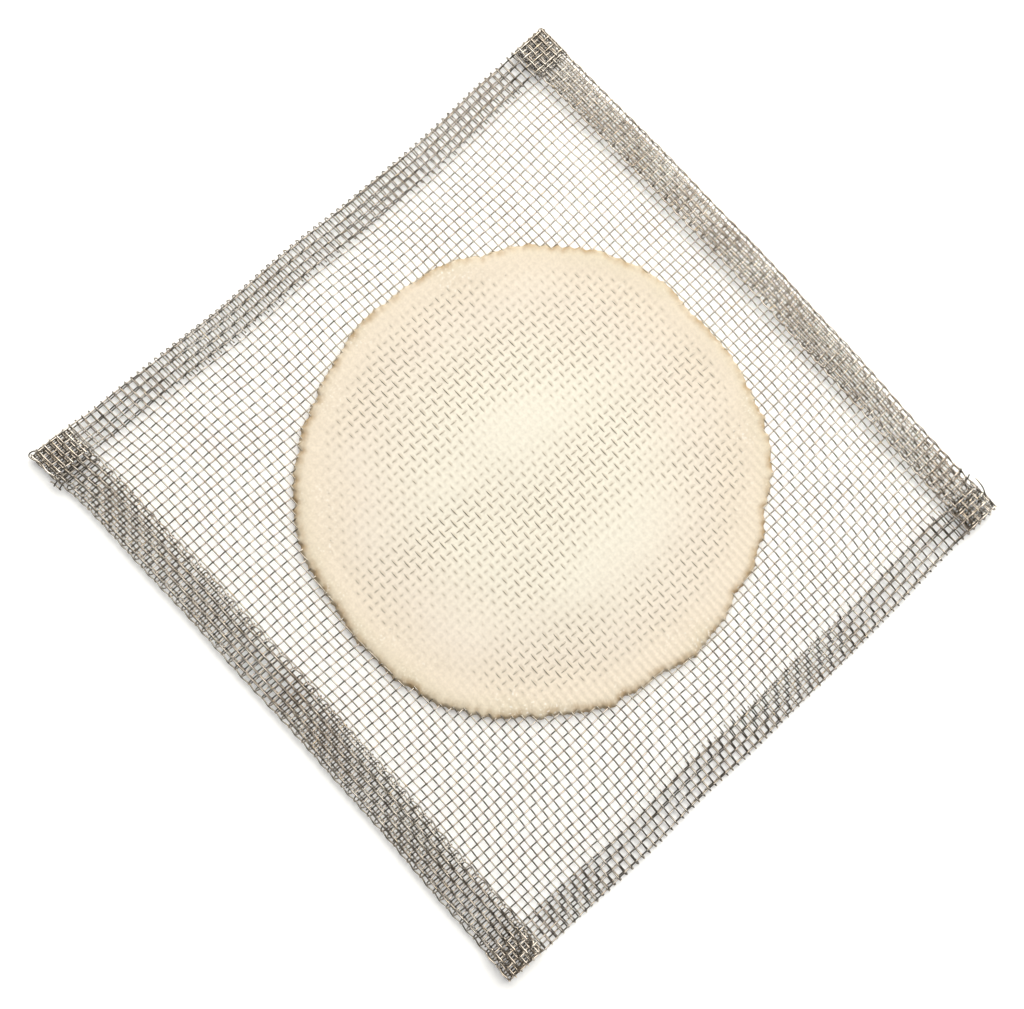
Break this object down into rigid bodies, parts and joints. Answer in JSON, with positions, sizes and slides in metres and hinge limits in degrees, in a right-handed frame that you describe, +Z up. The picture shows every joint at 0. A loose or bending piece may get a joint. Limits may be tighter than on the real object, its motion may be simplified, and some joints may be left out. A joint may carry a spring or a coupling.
{
  "type": "wire gauze",
  "caption": "Square hemmed wire gauze with a round ceramic centre pressed through its mesh, to spread heat under a vessel.",
  "frame": {"origin": "under the middle of the square, on the face that the gauze lies on, which is the underside of the ceramic centre", "axes": "+Z up through the gauze, X across the two sides that are folded twice, Y across the two sides that are folded once"},
  "size_m": [0.125, 0.125, 0.0052],
  "materials": {
    "steel_wire": "drawn steel wire, plain woven and left bright, dulled and browned a little by heat",
    "ceramic_paste": "matt fired ceramic paste, cream with a tan rim, pressed into the mesh"
  },
  "bodies": {
    "root": {"wire_cloth": "steel_wire", "ceramic_centre": "ceramic_paste"}
  },
  "joints": []
}
